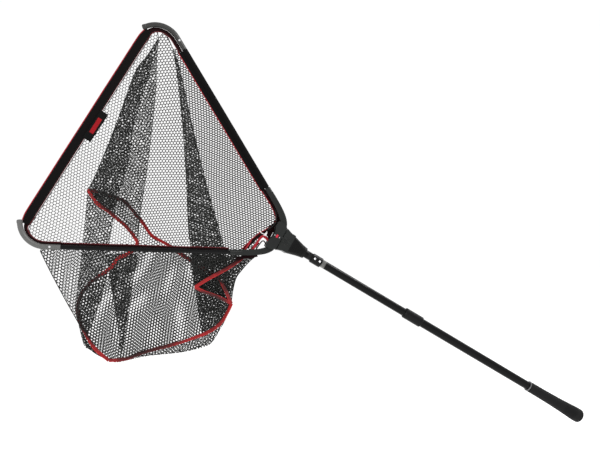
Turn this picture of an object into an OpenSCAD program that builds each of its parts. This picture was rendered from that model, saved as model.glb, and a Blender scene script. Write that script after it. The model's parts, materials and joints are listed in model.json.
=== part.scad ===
// Folding triangular landing net with a two-section handle.
// Every module is drawn in the handle's own axes: x runs along the handle towards the butt, z is across
// it in the plane of the net's mouth, y points to the side on which the bag hangs. x = 0 is the middle of
// the flip joint. placed() turns the handle to its drop and puts the butt end at the origin.

/* [Handle] */
// Drop of the handle below the horizontal, degrees
handle_drop = 30; // [20:1:40]
// Distance from the flip joint to the butt end
butt_x = 995; // [960:5:1100]
// Distance from the flip joint to the front of the twist collar
collar_x = 315; // [280:5:400]
// Length of the twist collar
collar_len = 63; // [56:1:75]
// Length of the grip, butt cap included
grip_len = 210; // [160:5:260]
// Outer diameter of the lower, outer tube
lower_tube_od = 25.4; // [25:0.1:27]
// Outer diameter of the upper, sliding tube
upper_tube_od = 23.7; // [23:0.1:23.7]
// Outer diameter of the grip where it starts
grip_od = 32; // [30:1:36]
// Outer diameter of the grip at the butt
butt_od = 43; // [40:1:48]

/* [Head] */
// Half of the angle between the two arms, degrees
arm_angle = 28.5; // [26:0.5:31]
// Straight length of an arm from its socket's mouth to its elbow's rivet
arm_len = 491; // [430:1:560]
// Outer diameter of an arm tube
arm_od = 12.5; // [12:0.1:12.6]
// Outer diameter of an elbow
elbow_od = 14.5; // [14.4:0.1:15.5]
// Bend radius of an elbow
elbow_r = 68; // [60:1:80]
// Angle that an elbow bends through, degrees
elbow_turn = 92; // [88:1:96]
// Width of the front strap
strap_w = 30; // [24:1:36]

/* [Flip joint] */
// Distance between the two pins of the flip joint
pin_gap = 16.6; // [16.6:0.1:18]
// Diameter of the flip joint's body
link_d = 30.4; // [30:0.1:32]

/* [Net] */
// Thickness of a net panel
panel_t = 2.4; // [2:0.2:4]
// How far behind the arms the rim of the bag lies
rim_y = 22; // [20:1:30]
// How far behind the arms the bag's base hangs at its top
base_top_y = 190; // [150:5:230]
// How far behind the arms the bag's base hangs at its bottom
base_low_y = 112; // [90:2:150]

/* [Hidden] */
$fn = 64;
eps = 0.01;

// handle
lower_r = lower_tube_od / 2;
upper_r = upper_tube_od / 2;
slide_gap = 0.08;
tube_wall = 0.8;
lower_x0 = collar_x + 37;
cap_len = 27;
cap_round = 11;
grip_x0 = butt_x - grip_len;
cap_x0 = butt_x - cap_len;
land_len = cap_len - cap_round;
tongue_end_x = 30;
plug_len = 78;
plug_x0 = butt_x - 20 - plug_len;
bush_len = 20;
upper_end_x = plug_x0 - bush_len;
rubber_gap = 0.05;
collet_len = 16;
collet_r = 13.3;
collet_slit = 1.2;
collet_land = 3;
collar_r = 16;
collar_chamfer = 2.5;
collar_fit = 0.1;

// flip joint
pin_x = pin_gap / 2;
pin_r = 3.2;
pin_fit = 0.05;
tongue_half_t = 7.7;
tongue_half_w = upper_r - 0.1;
slot_half = 7.95;
slot_floor = 12.2;
link_half = 17.5;
spigot_len = 40;

// neck, slide lock and hub
neck_r = 11.75;
neck_end_x = -112;
boot_end_x = -40;
boot_start_x = -90;
slide_front_x = -121;
hub_x0 = -123;
hub_len = 32;
hub_inner_y = 8.4;
hub_outer_y = 14.5;
slide_bore = 12.3;
spring_cavity = 14.3;
spring_x0 = -84;
spring_x1 = -52.4;
spring_turns = 7;
spring_wire = 0.7;
spring_mean = 13.15;
badge_x = -138.5;
badge_size = [6, 9];
badge_depth = 1;
badge_proud = 0.3;
badge_gap = 0.1;
pivot_x = -132;
pivot_z = 27;
pivot_r = 3;
eye_r = 10.5;
eye_half_t = 8.1;
heel_r = 16;
screw_x = [-145, -130];
screw_r = 2;
screw_head_r = 3.6;
pin_head_r = 5;
head_h = 1.8;
screw_len = 25;
screw_socket_r = 1.7;

// arms
socket_x = -232;
socket_z = 108;
socket_half_t = 8;
barrel_r = 8.6;
barrel_len = 34;
arm_r = arm_od / 2;
arm_wall = 1.2;
arm_into_socket = 26;
elbow_pipe_r = elbow_od / 2;
elbow_sleeve = 28;
elbow_bore = arm_r + 0.05;
rivet_r = 2;
knob_r = 8.2;
knob_len = 11;
sleeve_r = arm_r + 0.9;
hem_w = 20;
hem_t = 2.4;
strap_x = -766;
strap_half_len = 300;
strap_t = 3;
tag_z = [-28, 60];
tag_w = 21;

// bag: corners of the rim and of the base, in the handle's axes, before the base is dropped
rim_top = [-717, rim_y, 322];
rim_left = [-717, rim_y, -330];
rim_hub = [-186, rim_y, -16];
base_top = [-678, base_top_y, -154];
base_left = [-369, base_low_y, -544];
base_hub = [-140, base_low_y + 8, -232];

module placed() rotate([0, handle_drop, 0]) translate([-butt_x, 0, 0]) children();

// a round bar along x from x0 to x1
module bar(x0, x1, r) translate([x0, 0, 0]) rotate([0, 90, 0]) cylinder(h = x1 - x0, r = r);

module tube(x0, x1, r_out, r_in) difference() {
    bar(x0, x1, r_out);
    bar(x0 - 1, x1 + 1, r_in);
}

// a round pin along y at x, z
module pin_y(x, z, half, r) translate([x, half, z]) rotate([90, 0, 0]) cylinder(h = 2 * half, r = r);

// a flat plate: a 2D outline in x and z, given thickness from y0 to y1
module plate(y0, y1) translate([0, y1, 0]) rotate([90, 0, 0]) linear_extrude(y1 - y0) children();

// turned about the x axis: a profile of [x, radius] points
module turned(points) rotate([0, 90, 0]) rotate_extrude() polygon([for (p = points) [p[1], p[0]]]);

// ---------------- handle ----------------
module lower_tube() color("#1b1b1c") placed()
    tube(lower_x0, plug_x0 + plug_len, lower_r, upper_r + slide_gap);

// the grip swells towards the butt; t runs from 0 at its start to 1 at the cap
grip_flare = 2.4;
function grip_radius(t) = grip_od / 2 + (butt_od - grip_od) / 2 * pow(t, grip_flare);
grip_steps = 24;
grip_body_len = cap_x0 - grip_x0;
groove_count = 7;
groove_pitch = 6;
groove_w = 1.6;
groove_depth = 0.8;

module grip_sleeve() color("#161617") placed() difference() {
    turned(concat(
        [[grip_x0 + 2, lower_r + rubber_gap], [grip_x0 + 2, grip_od / 2 - 0.8]],
        [for (i = [1 : grip_steps]) let (t = i / grip_steps)
            [grip_x0 + 2 + (grip_body_len - 2) * t, grip_radius(t)]],
        [[cap_x0, lower_r + rubber_gap]]));
    for (i = [0 : groove_count - 1]) {
        x = cap_x0 - 6 - i * groove_pitch;
        r = grip_radius((x - grip_x0) / grip_body_len);
        tube(x - groove_w, x, r + 2, r - groove_depth);
    }
}

module grip_ring() color("#6f7072") placed()
    tube(grip_x0, grip_x0 + 2, grip_od / 2 + 0.4, lower_r + rubber_gap);

module butt_cap() color("#131314") placed() difference() {
    union() {
        bar(cap_x0, cap_x0 + land_len, butt_od / 2);
        turned(concat(
            [[cap_x0 + land_len, 0]],
            [for (a = [0 : 9 : 90]) [
                cap_x0 + land_len + cap_round * sin(a),
                butt_od / 2 - cap_round + cap_round * cos(a)]],
            [[butt_x, 0]]));
    }
    bar(cap_x0 - 1, butt_x - 20, lower_r + rubber_gap);
}

module butt_plug() color("#2a2a2b") placed()
    bar(plug_x0, plug_x0 + plug_len - eps, upper_r + slide_gap - 0.02);

module collet() color("#3a3a3c") placed() difference() {
    tube(lower_x0 - collet_len, lower_x0, collet_r, upper_r + slide_gap);
    for (a = [0, 60, 120]) rotate([a, 0, 0])
        translate([lower_x0 - collet_len - 1, -collet_slit / 2, -20])
            cube([collet_len + 1 - collet_land, collet_slit, 40]);
}

module twist_collar() color("#202021") placed() difference() {
    turned([
        [collar_x, 0], [collar_x, collar_r - collar_chamfer], [collar_x + collar_chamfer, collar_r],
        [collar_x + collar_len - collar_chamfer, collar_r],
        [collar_x + collar_len, collar_r - collar_chamfer], [collar_x + collar_len, 0]]);
    bar(collar_x - 1, collar_x + collar_len + 1, upper_r + 0.2);
    bar(lower_x0 - collet_len - 0.5, lower_x0 + 0.5, collet_r + 0.3);
    bar(lower_x0, collar_x + collar_len + 1, lower_r + collar_fit);
    for (x = [collar_x + 8, collar_x + collar_len - 9]) tube(x, x + 1, collar_r + 1, collar_r - 0.5);
}

module upper_tube() color("#1d1d1e") placed()
    tube(tongue_end_x, upper_end_x, upper_r, upper_r - tube_wall);

module guide_bush() color("#2c2c2d") placed() union() {
    bar(upper_end_x, plug_x0, upper_r - 0.02);
    bar(upper_end_x - 24, upper_end_x, upper_r - tube_wall - 0.02);
}

// ---------------- flip joint ----------------
// outline of a tongue whose pin is at x = 0 and whose body runs to +x; its lower edge bears on the link
module tongue_outline(len) union() {
    circle(r = 8);
    polygon([
        [0, -slot_floor + 0.3], [len, -slot_floor + 0.3], [len, tongue_half_w], [13.7, tongue_half_w],
        [2.5, 7.6], [0, 6]]);
}

module tongue(r_spigot) {
    len = tongue_end_x - pin_x;
    difference() {
        intersection() {
            plate(-tongue_half_t, tongue_half_t) tongue_outline(len);
            bar(-20, len + 1, upper_r);
        }
        pin_y(0, 0, 20, pin_r + pin_fit);
        for (x = [len - 3, len - 6.5, len - 10]) translate([x, -10, -20]) cube([1.2, 2.9, 40]);
    }
    bar(len, len + spigot_len, r_spigot);
}

module handle_tongue() color("#b9bbbd") placed() translate([pin_x, 0, 0])
    tongue(upper_r - tube_wall - 0.05);

module head_tongue() color("#2b2b2c") placed() mirror([1, 0, 0]) translate([pin_x, 0, 0])
    tongue(neck_r - 1.6);

module joint_link() color("#1a1a1b") placed() difference() {
    turned([
        [-link_half, 0], [-link_half, link_d / 2 - 2], [-link_half + 2, link_d / 2],
        [link_half - 2, link_d / 2], [link_half, link_d / 2 - 2], [link_half, 0]]);
    translate([-link_half - 1, -slot_half, -slot_floor]) cube([2 * link_half + 2, 2 * slot_half, 40]);
    for (s = [-1, 1]) pin_y(s * pin_x, 0, 20, pin_r + 0.02);
}

// a pin with a domed head at each end
module joint_pin(x) {
    half = link_d / 2 - 0.2;
    pin_y(x, 0, half, pin_r);
    for (s = [-1, 1]) translate([x, s * half, 0]) rotate([s * -90, 0, 0])
        rotate_extrude() intersection() {
            translate([0, -3.4]) circle(r = 4.67);
            square([10, 10]);
        }
}

module joint_pin_rear() color("#e4e5e6") placed() joint_pin(pin_x);
module joint_pin_front() color("#e4e5e6") placed() joint_pin(-pin_x);

// ---------------- neck, slide lock and hub ----------------
module neck_tube() color("#1c1c1d") placed() tube(neck_end_x, -tongue_end_x, neck_r, neck_r - 1.5);

module spring_ring() color("#8b8d8f") placed() tube(-52, -49.5, 13.9, neck_r + 0.02);

// a helix swept with a small polygon: one ring of points every step
spring_sides = 8;
spring_per_turn = 16;
spring_rings = spring_turns * spring_per_turn;
spring_in = spring_wire + 0.2;
function spring_x(i) = spring_x0 + spring_in + (spring_x1 - spring_x0 - 2 * spring_in) * i / spring_rings;
function spring_point(i, k) = let (
    a = 360 * i / spring_per_turn,
    b = 360 * k / spring_sides,
    r = spring_mean + spring_wire * cos(b)
) [spring_x(i) + spring_wire * sin(b), r * cos(a), r * sin(a)];

module slide_spring() color("#9b9da0") placed() polyhedron(
    [for (i = [0 : spring_rings], k = [0 : spring_sides - 1]) spring_point(i, k)],
    concat(
        [[for (k = [0 : spring_sides - 1]) k]],
        [for (i = [0 : spring_rings - 1], k = [0 : spring_sides - 1])
            let (m = i * spring_sides, n = (k + 1) % spring_sides, up = spring_sides)
            [m + k, m + up + k, m + up + n, m + n]],
        [[for (k = [spring_sides - 1 : -1 : 0]) spring_rings * spring_sides + k]]));

module hub_core() color("#252526") placed() difference() {
    union() {
        translate([hub_x0 - hub_len + 5, -hub_inner_y, -9.5]) cube([hub_len - 4, 2 * hub_inner_y, 19]);
        bar(hub_x0, neck_end_x, neck_r - 0.1);
        bar(neck_end_x, neck_end_x + 26, neck_r - 1.55);
    }
    for (x = screw_x) pin_y(x, 0, 20, screw_r);
}

// saddle-shaped outline shared by both covers: half of its edge as [distance forward of the slide, z],
// with the saddle cut by a large circle
cover_edge = [[0, 34], [6, 39], [20, 44], [hub_len, 40]];
saddle_r = 40;
saddle_x = hub_x0 - hub_len - 34;
module cover_outline() difference() {
    polygon(concat(
        [for (p = cover_edge) [hub_x0 - p[0], -p[1]]],
        [for (i = [len(cover_edge) - 1 : -1 : 0]) [hub_x0 - cover_edge[i][0], cover_edge[i][1]]]));
    translate([saddle_x, 0]) circle(r = saddle_r);
}

module hub_front_cover() color("#2f3031") placed() difference() {
    plate(-hub_outer_y, -hub_inner_y) cover_outline();
    for (s = [-1, 1]) pin_y(pivot_x, s * pivot_z, 12, pivot_r + 0.02);
    for (x = screw_x) pin_y(x, 0, hub_outer_y + 1, screw_r);
    badge_block(badge_gap, 1);
}

module hub_rear_cover() color("#2f3031") placed() difference() {
    plate(hub_inner_y, hub_outer_y) cover_outline();
    for (s = [-1, 1]) pin_y(pivot_x, s * pivot_z, 20, pivot_r + 0.02);
    for (x = screw_x) pin_y(x, 0, hub_outer_y + 1, screw_r);
}

// the badge or, with a gap round it, its recess
module badge_block(gap, proud) translate([badge_x, -hub_outer_y + (badge_depth - proud) / 2, 0])
    cube([badge_size[0] + 2 * gap, badge_depth + proud, badge_size[1] + 2 * gap], center = true);

module hub_badge() color("#b01822") placed() badge_block(0, badge_proud);

// a shank that enters the hub from behind, with a flat head on the rear cover
module headed(x, z, shank_len, shank_r, head_r) translate([x, hub_outer_y, z]) rotate([90, 0, 0]) {
    cylinder(h = shank_len, r = shank_r);
    translate([0, 0, -head_h]) cylinder(h = head_h, r = head_r);
}

module hub_screws() color("#77797b") placed() for (x = screw_x) difference() {
    headed(x, 0, screw_len, screw_r - 0.05, screw_head_r);
    translate([x, hub_outer_y + 1, 0]) rotate([-90, 0, 0]) cylinder(h = head_h, r = screw_socket_r, $fn = 6);
}

module arm_pivot_pins() color("#77797b") placed() for (s = [-1, 1])
    headed(pivot_x, s * pivot_z, screw_len + 0.6, pivot_r, pin_head_r);

// the slide's front part: a flattened block that meets the hub's covers, with ribs on its face
module slide_body() color("#2a2b2c") placed() difference() {
    intersection() {
        plate(-17, 17) polygon([
            [slide_front_x, -35], [-112, -31], [-103, -28.5], [boot_start_x, -28.5],
            [boot_start_x, 28.5], [-103, 28.5], [-112, 31], [slide_front_x, 35]]);
        bar(slide_front_x, boot_start_x, 37);
    }
    bar(slide_front_x - 1, boot_start_x + 1, slide_bore);
    for (s = [-1, 1], z = [-9, -3, 3, 9])
        translate([-117, s * 16.4 - 0.8, z - 1.1]) cube([22, 1.6, 2.2]);
}

// the slide's rear part: a tapering rubber boot with ribs round it
boot_steps = 9;
boot_rib = 3.4;
module slide_boot() color("#151516") placed() difference() {
    intersection() {
        turned([
            [boot_start_x, 0], [boot_start_x, 28.3], [-80, 25.4], [-68, 22.2], [-57, 19.2], [-47, 17.2],
            [boot_end_x, 16.2], [boot_end_x, 0]]);
        translate([boot_start_x - 1, -16.6, -40]) cube([60, 33.2, 80]);
    }
    bar(boot_start_x - 1, spring_x0, slide_bore);
    bar(spring_x0 - 0.2, -43, spring_cavity);
    bar(-45, boot_end_x + 1, slide_bore);
    for (i = [0 : boot_steps - 1]) {
        x = -86 + i * 4.4;
        r = 27.2 - i * 1.32;
        tube(x, x + 1.2, 40, r - 0.7);
        for (s = [-1, 1]) translate([x, s * 16.6 - 0.6, -40]) cube([1.2, 1.2, 80]);
    }
}

// ---------------- arms, drawn for the upper arm and mirrored for the lower ----------------
module lower_side() mirror([0, 0, 1]) children();

// along an arm: x runs back to its socket's mouth at x = 0, z points out of the net's mouth
module on_arm() translate([socket_x, 0, socket_z]) rotate([0, arm_angle, 0]) children();

// centreline of the socket's curved web, from the pivot eye to the barrel, as one cubic curve
web_a = [pivot_x - 3, pivot_z + 8];
web_b = [pivot_x - 10, pivot_z + 30];
web_c = [socket_x + 60, socket_z - 33];
web_d = [socket_x + 14, socket_z - 8];
web_steps = 12;
function web_at(t) = pow(1 - t, 3) * web_a + 3 * t * pow(1 - t, 2) * web_b
    + 3 * t * t * (1 - t) * web_c + pow(t, 3) * web_d;
function web_dir(t) = let (v = web_at(t + 0.01) - web_at(t - 0.01)) v / norm(v);
function web_side(t, s) = let (d = web_dir(t), w = 9.6 - 1.6 * t) web_at(t) + s * w * [d[1], -d[0]];

module arm_socket() difference() {
    union() {
        plate(-socket_half_t, socket_half_t) union() {
            polygon(concat(
                [for (i = [0 : web_steps]) web_side(i / web_steps, 1)],
                [for (i = [web_steps : -1 : 0]) web_side(i / web_steps, -1)]));
            translate([pivot_x, pivot_z]) circle(r = eye_r);
            translate([pivot_x, pivot_z]) polygon([
                [0, 8], [eye_r, 0], [eye_r, -sqrt(heel_r * heel_r - eye_r * eye_r)], [2, -9]]);
        }
        on_arm() bar(0, barrel_len, barrel_r);
    }
    pin_y(pivot_x, pivot_z, 20, pivot_r + 0.06);
    on_arm() bar(-1, arm_into_socket, arm_r + 0.05);
}

module arm_tube() on_arm() difference() {
    tube(-arm_len - 8, arm_into_socket, arm_r, arm_r - arm_wall);
    pin_y(-arm_len, 0, 20, rivet_r);
}

module elbow() on_arm() difference() {
    union() {
        bar(-arm_len - 12, -arm_len + elbow_sleeve, elbow_pipe_r);
        translate([-arm_len - 12, 0, -elbow_r]) rotate([90, 0, 0]) rotate([0, 0, 90])
            rotate_extrude(angle = elbow_turn - 8) translate([elbow_r, 0]) circle(r = elbow_pipe_r);
    }
    bar(-arm_len - 9, -arm_len + elbow_sleeve + 1, elbow_bore);
    pin_y(-arm_len, 0, 20, rivet_r);
}

module elbow_rivet() on_arm() {
    pin_y(-arm_len, 0, elbow_pipe_r + 0.9, rivet_r - 0.02);
    for (s = [-1, 1]) translate([-arm_len, s * (elbow_pipe_r + 0.05), 0]) rotate([s * -90, 0, 0])
        cylinder(h = 1, r = 2.9);
}

// the knob that closes an elbow's end and holds the strap
module strap_knob() on_arm() translate([-arm_len - 12, 0, -elbow_r]) rotate([0, -(elbow_turn - 8), 0])
    translate([0, 0, elbow_r]) turned([
        [-knob_len, 0], [-knob_len, knob_r - 3], [-knob_len + 1.2, knob_r - 1], [-knob_len + 3, knob_r],
        [-3, knob_r], [-1, knob_r - 0.8], [0, elbow_pipe_r], [0, 0]]);

module upper_arm_sleeve() color("#141313") placed() on_arm() difference() {
    union() {
        bar(-arm_len + elbow_sleeve + 4, -4, sleeve_r);
        translate([-arm_len + elbow_sleeve + 4, -hem_t / 2, -hem_w])
            cube([arm_len - elbow_sleeve - 8, hem_t, hem_w]);
    }
    bar(-arm_len, 10, arm_r + 0.3);
}

module lower_arm_hem() color("#1f1213") placed() lower_side() on_arm()
    translate([-arm_len + 4, elbow_pipe_r + 0.15, -hem_w + 5]) cube([arm_len - 30, hem_t, hem_w - 3]);

module front_strap() color("#171414") placed()
    translate([strap_x, -strap_t / 2, -strap_half_len]) cube([strap_w, strap_t, 2 * strap_half_len]);

module strap_tag() color("#2a1112") placed()
    translate([strap_x + strap_w + 0.2, -1, tag_z[0]]) cube([tag_w, 2, tag_z[1] - tag_z[0]]);

module upper_arm_socket() color("#353637") placed() arm_socket();
module upper_arm_tube() color("#171718") placed() arm_tube();
module top_elbow() color("#4a4b4c") placed() elbow();
module top_elbow_rivet() color("#d2d3d4") placed() elbow_rivet();
module top_strap_knob() color("#4a4b4c") placed() strap_knob();
module lower_arm_socket() color("#353637") placed() lower_side() arm_socket();
module lower_arm_tube() color("#171718") placed() lower_side() arm_tube();
module left_elbow() color("#77787a") placed() lower_side() elbow();
module left_elbow_rivet() color("#d2d3d4") placed() lower_side() elbow_rivet();
module left_strap_knob() color("#77787a") placed() lower_side() strap_knob();

// ---------------- bag ----------------
// a flat three-cornered plate of net, thickened along y
module net_plate(a, b, c) {
    back = [0, panel_t, 0];
    polyhedron([a, b, c, a + back, b + back, c + back],
        [[0, 1, 2], [5, 4, 3], [0, 3, 4, 1], [1, 4, 5, 2], [2, 5, 3, 0]]);
}

// a point drawn in from the edges of its panel, towards the panel's middle, so that panels stay apart
panel_inset = 0.02;
base_inset = 0.05;
function drawn_in(p, mid, inset = panel_inset) = p + (mid - p) * inset;

module net_panel(a, b, c, d) {
    mid = (a + b + c + d) / 4;
    q = [for (p = [a, b, c, d]) drawn_in(p, mid)];
    net_plate(q[0], q[1], q[2]);
    net_plate(q[0], q[2], q[3]);
}

module net_front_wall() color("#26262b") placed() net_panel(rim_left, rim_top, base_top, base_left);
module net_upper_wall() color("#303035") placed() net_panel(rim_top, rim_hub, base_hub, base_top);
module net_lower_wall() color("#2b2b30") placed() net_panel(rim_hub, rim_left, base_left, base_hub);
module net_base() color("#38383d") placed() {
    mid = (base_top + base_left + base_hub) / 3;
    q = [for (p = [base_left, base_top, base_hub]) drawn_in(p, mid, base_inset)];
    net_plate(q[0], q[1], q[2]);
}

lower_tube();
grip_sleeve();
grip_ring();
butt_cap();
butt_plug();
collet();
twist_collar();
upper_tube();
guide_bush();
handle_tongue();
joint_pin_rear();
joint_link();
joint_pin_front();
head_tongue();
neck_tube();
spring_ring();
slide_spring();
hub_core();
hub_front_cover();
hub_rear_cover();
hub_badge();
hub_screws();
arm_pivot_pins();
slide_body();
slide_boot();
upper_arm_socket();
upper_arm_tube();
top_elbow();
top_elbow_rivet();
top_strap_knob();
upper_arm_sleeve();
front_strap();
strap_tag();
lower_arm_socket();
lower_arm_tube();
left_elbow();
left_elbow_rivet();
left_strap_knob();
lower_arm_hem();
net_front_wall();
net_upper_wall();
net_lower_wall();
net_base();
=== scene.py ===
"""Folding landing net: the looks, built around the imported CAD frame."""
import json
import math

import bpy
import numpy as np
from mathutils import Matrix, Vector


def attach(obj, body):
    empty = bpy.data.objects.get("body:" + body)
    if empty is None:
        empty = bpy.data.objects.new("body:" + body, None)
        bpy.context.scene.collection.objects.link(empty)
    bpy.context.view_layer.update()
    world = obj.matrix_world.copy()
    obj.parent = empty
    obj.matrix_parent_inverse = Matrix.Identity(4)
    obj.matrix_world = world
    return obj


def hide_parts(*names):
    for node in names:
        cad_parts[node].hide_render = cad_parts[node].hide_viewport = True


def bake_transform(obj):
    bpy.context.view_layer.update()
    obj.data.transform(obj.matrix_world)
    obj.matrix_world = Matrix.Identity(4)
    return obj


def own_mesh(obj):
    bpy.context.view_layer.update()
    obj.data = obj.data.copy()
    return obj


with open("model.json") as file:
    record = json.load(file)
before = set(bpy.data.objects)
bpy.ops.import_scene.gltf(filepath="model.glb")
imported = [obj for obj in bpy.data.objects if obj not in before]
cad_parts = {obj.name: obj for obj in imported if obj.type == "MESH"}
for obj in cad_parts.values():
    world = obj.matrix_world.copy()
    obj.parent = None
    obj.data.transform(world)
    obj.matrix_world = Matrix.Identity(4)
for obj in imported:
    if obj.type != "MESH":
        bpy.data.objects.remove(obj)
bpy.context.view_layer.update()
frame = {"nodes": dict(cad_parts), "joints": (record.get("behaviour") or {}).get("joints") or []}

MM = 0.001
SEED = 11

# ---- axes and places
JOINTS = {j["name"]: j for j in frame["joints"]}
FLIP = (np.array(JOINTS["flip_rear"]["pos_m"]) + np.array(JOINTS["flip_front"]["pos_m"])) / 2
ALONG = -np.array(JOINTS["handle_extend"]["axis"], float)  # along the handle, towards the butt
ACROSS = np.array([-ALONG[2], 0.0, ALONG[0]])  # across it, in the plane of the mouth
SIDE = np.array([0.0, 1.0, 0.0])  # to the bag's side


def local(x, y, z):
    """A point in the handle's own axes, millimetres from the flip joint, in the row frame in metres."""
    return FLIP + MM * (x * ALONG + y * SIDE + z * ACROSS)


def hang(points):
    """Points of what hangs, or one, in millimetres from the flip joint along the row's axes, as metres."""
    return FLIP + MM * np.array(points, float)


def local_z(points):
    """How far points lie across the handle, in millimetres."""
    return (np.asarray(points) - FLIP) @ ACROSS / MM


# the arms, in the handle's own axes
ARM_ANGLE = math.radians(28.5)
MOUTH = (-232.0, 108.0)  # where an arm leaves its socket
ARM_LEN = 491.0
ARM_R = 6.25
ELBOW_R = 68.0
ELBOW_START = ARM_LEN + 12


def on_arm(s, out, y=0.0, side=1):
    """s along the arm from its socket's mouth, out away from the net's mouth; side -1 is the lower arm."""
    c, k = math.cos(ARM_ANGLE), math.sin(ARM_ANGLE)
    return local(MOUTH[0] - s * c + out * k, y, side * (MOUTH[1] + s * k + out * c))


def on_elbow(turn, inward, y=0.0, side=1):
    """A point round an elbow: turn in radians from its start, inward towards its centre."""
    r = ELBOW_R - inward
    return on_arm(ELBOW_START + r * math.sin(turn), -ELBOW_R + r * math.cos(turn), y, side)


# ---- small mesh tools
def lengths(vectors):
    return np.linalg.norm(vectors, axis=1)


def smooth_line(points, step=4 * MM):
    """A smooth line through a few points, sampled about every step."""
    p = np.asarray(points, float)
    p = np.vstack([2 * p[0] - p[1], p, 2 * p[-1] - p[-2]])
    out = []
    for i in range(1, len(p) - 2):
        a, b, c, d = p[i - 1:i + 3]
        n = max(2, int(np.linalg.norm(c - b) / step))
        for t in np.arange(n) / n:
            out.append(0.5 * (2 * b + (c - a) * t + (2 * a - 5 * b + 4 * c - d) * t ** 2
                              + (3 * b - a - 3 * c + d) * t ** 3))
    out.append(p[-2])
    return np.array(out)


def hung_line(*points, step=4 * MM):
    """A smooth line through points of what hangs."""
    return smooth_line(hang(points), step)


def since(line, point):
    """The rest of a line from where it is nearest to a point."""
    return line[int(np.argmin(lengths(line - point))):]


def until(line, point):
    """A line up to where it is nearest to a point."""
    return line[:int(np.argmin(lengths(line - point))) + 1]


def place(name, data):
    """An object put into the scene."""
    obj = bpy.data.objects.new(name, data)
    bpy.context.scene.collection.objects.link(obj)
    return obj


def make_mesh(name, verts, faces, material, values=None):
    """A piece, shaded smooth; values are numbers kept on its points, by name."""
    mesh = bpy.data.meshes.new(name)
    mesh.from_pydata([tuple(v) for v in verts], [], [tuple(f) for f in faces])
    mesh.validate()
    mesh.update()
    mesh.polygons.foreach_set("use_smooth", [True] * len(mesh.polygons))
    for key, data in (values or {}).items():
        mesh.attributes.new(key, "FLOAT", "POINT").data.foreach_set("value", np.asarray(data, np.float32))
    mesh.materials.append(material)
    obj = place(name, mesh)
    return obj


def tangents(line):
    """Unit directions along a line, from the steps on both sides of each point."""
    step = np.diff(line, axis=0)
    step /= np.maximum(lengths(step), 1e-9)[:, None]
    both = np.vstack([step[:1], step[:-1] + step[1:], step[-1:]])
    flat = lengths(both) < 0.05
    both[flat] = np.vstack([step, step[-1:]])[flat]
    return both / np.maximum(lengths(both), 1e-9)[:, None]


def sweep(line, section, up, twist=None, scale=None):
    """Verts and faces of a section, given as (across, up) points, carried along a line."""
    line = np.asarray(line, float)
    n, m = len(line), len(section)
    tangent = tangents(line)
    ups = np.asarray(up, float) * np.ones_like(line)
    across = np.cross(tangent, ups)
    across /= lengths(across)[:, None]
    ups = np.cross(across, tangent)
    turn = np.zeros(n) if twist is None else np.asarray(twist)
    size = np.ones(n) if scale is None else np.asarray(scale)
    verts = []
    for i in range(n):
        c, s = math.cos(turn[i]), math.sin(turn[i])
        for a, b in section:
            a, b = a * size[i], b * size[i]
            verts.append(line[i] + (a * c - b * s) * across[i] + (a * s + b * c) * ups[i])
    faces = [(i * m + k, i * m + (k + 1) % m, (i + 1) * m + (k + 1) % m, (i + 1) * m + k)
             for i in range(n - 1) for k in range(m)]
    faces.append(tuple(range(m - 1, -1, -1)))
    faces.append(tuple((n - 1) * m + k for k in range(m)))
    return np.array(verts), faces


def join_parts(parts):
    """One list of verts and one of faces from several."""
    verts, faces, base = [], [], 0
    for v, f in parts:
        verts.append(np.asarray(v))
        faces += [tuple(i + base for i in face) for face in f]
        base += len(v)
    return np.vstack(verts), faces


def oval(half_a, half_b, sides=12, power=1.0):
    """Section points of an oval; a power below 1 squares it off."""
    out = []
    for k in range(sides):
        c, s = math.cos(2 * math.pi * k / sides), math.sin(2 * math.pi * k / sides)
        out.append((half_a * math.copysign(abs(c) ** power, c), half_b * math.copysign(abs(s) ** power, s)))
    return out


def round_cord(radius):
    return oval(radius, radius, 8)


def swept(name, line, section, key, slot="black_webbing", up=-SIDE, **how):
    """A piece that is one section carried along a line, in the material key."""
    verts, faces = sweep(line, section, up, **how)
    return make_mesh(name, verts, faces, MATS[key])


# ---- materials
# how the grain is turned about Y, in degrees, to run along each part
HANDLE_TURN = 30.0
UPPER_TURN = 58.5
LOWER_TURN = 1.5
STRAP_TURN = -60.0


def shade(colour, share):
    """A colour made darker or lighter by a share."""
    return tuple(share * c for c in colour)


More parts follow.
